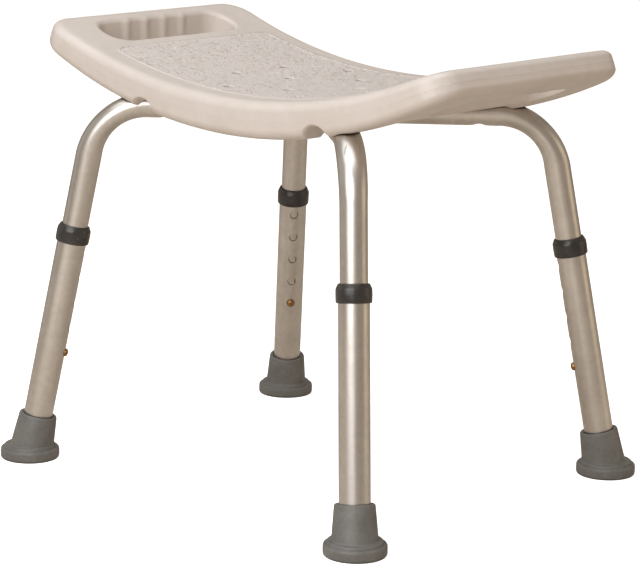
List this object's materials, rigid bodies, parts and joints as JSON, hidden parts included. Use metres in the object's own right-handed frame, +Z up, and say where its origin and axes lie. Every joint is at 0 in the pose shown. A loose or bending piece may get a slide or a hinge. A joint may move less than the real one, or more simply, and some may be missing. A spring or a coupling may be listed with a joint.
{
  "type": "shower stool",
  "caption": "Backless shower stool: curved moulded plastic seat with handle slots and drain holes on a crossed aluminium frame with telescopic, rubber-tipped legs.",
  "frame": {"origin": "on the floor, under the centre of the seat", "axes": "+X along the seat's length to the right, +Y to the back, +Z up"},
  "size_m": [0.518, 0.4272, 0.4281],
  "materials": {
    "seat": "satin beige moulding with a pebbled seating panel",
    "frame_tube": "satin anodised",
    "collar": "satin black",
    "tip": "matt grey",
    "steel": "bright zinc plate",
    "spring": "spring steel",
    "button": "worn brass"
  },
  "bodies": {
    "seat_frame": {"seat": "seat", "crossbar_tube_upper": "frame_tube", "crossbar_tube_lower": "frame_tube", "centre_rivet": "steel", "centre_rivet_washer": "steel", "seat_screw_front_left": "steel", "seat_washer_front_left": "steel", "seat_insert_front_left": "button", "snap_spring_front_left": "spring", "seat_screw_front_right": "steel", "seat_washer_front_right": "steel", "seat_insert_front_right": "button", "snap_spring_front_right": "spring", "seat_screw_back_left": "steel", "seat_washer_back_left": "steel", "seat_insert_back_left": "button", "snap_spring_back_left": "spring", "seat_screw_back_right": "steel", "seat_washer_back_right": "steel", "seat_insert_back_right": "button", "snap_spring_back_right": "spring"},
    "leg_front_left": {"leg_tube_front_left": "frame_tube", "leg_collar_front_left": "collar", "rubber_tip_front_left": "tip", "tip_washer_front_left": "steel"},
    "button_front_left": {"snap_button_front_left": "button"},
    "leg_front_right": {"leg_tube_front_right": "frame_tube", "leg_collar_front_right": "collar", "rubber_tip_front_right": "tip", "tip_washer_front_right": "steel"},
    "button_front_right": {"snap_button_front_right": "button"},
    "leg_back_left": {"leg_tube_back_left": "frame_tube", "leg_collar_back_left": "collar", "rubber_tip_back_left": "tip", "tip_washer_back_left": "steel"},
    "button_back_left": {"snap_button_back_left": "button"},
    "leg_back_right": {"leg_tube_back_right": "frame_tube", "leg_collar_back_right": "collar", "rubber_tip_back_right": "tip", "tip_washer_back_right": "steel"},
    "button_back_right": {"snap_button_back_right": "button"}
  },
  "joints": [
    {"name": "leg_extension_front_left", "type": "slide", "parent": "seat_frame", "child": "leg_front_left", "axis": [-0.1435, -0.1223, -0.9821], "range_m": [0, 0.1016], "deforming": ["snap_spring_front_left", "snap_button_front_left"]},
    {"name": "leg_extension_front_right", "type": "slide", "parent": "seat_frame", "child": "leg_front_right", "axis": [0.1435, -0.1223, -0.9821], "range_m": [0, 0.1016], "deforming": ["snap_spring_front_right", "snap_button_front_right"]},
    {"name": "leg_extension_back_left", "type": "slide", "parent": "seat_frame", "child": "leg_back_left", "axis": [-0.1435, 0.1223, -0.9821], "range_m": [0, 0.1016], "deforming": ["snap_spring_back_left", "snap_button_back_left"]},
    {"name": "leg_extension_back_right", "type": "slide", "parent": "seat_frame", "child": "leg_back_right", "axis": [0.1435, 0.1223, -0.9821], "range_m": [0, 0.1016], "deforming": ["snap_spring_back_right", "snap_button_back_right"]},
    {"name": "button_press_front_left", "type": "slide", "parent": "seat_frame", "child": "button_front_left", "axis": [-0.7474, -0.637, 0.1886], "range_m": [0, 0.0045], "stiffness_N_per_m": 2000, "springref_m": -0.002, "deforming": ["snap_spring_front_left"]},
    {"name": "button_press_front_right", "type": "slide", "parent": "seat_frame", "child": "button_front_right", "axis": [0.7474, -0.637, 0.1886], "range_m": [0, 0.0045], "stiffness_N_per_m": 2000, "springref_m": -0.002, "deforming": ["snap_spring_front_right"]},
    {"name": "button_press_back_left", "type": "slide", "parent": "seat_frame", "child": "button_back_left", "axis": [-0.7474, 0.637, 0.1886], "range_m": [0, 0.0045], "stiffness_N_per_m": 2000, "springref_m": -0.002, "deforming": ["snap_spring_back_left"]},
    {"name": "button_press_back_right", "type": "slide", "parent": "seat_frame", "child": "button_back_right", "axis": [0.7474, 0.637, 0.1886], "range_m": [0, 0.0045], "stiffness_N_per_m": 2000, "springref_m": -0.002, "deforming": ["snap_spring_back_right"]}
  ]
}
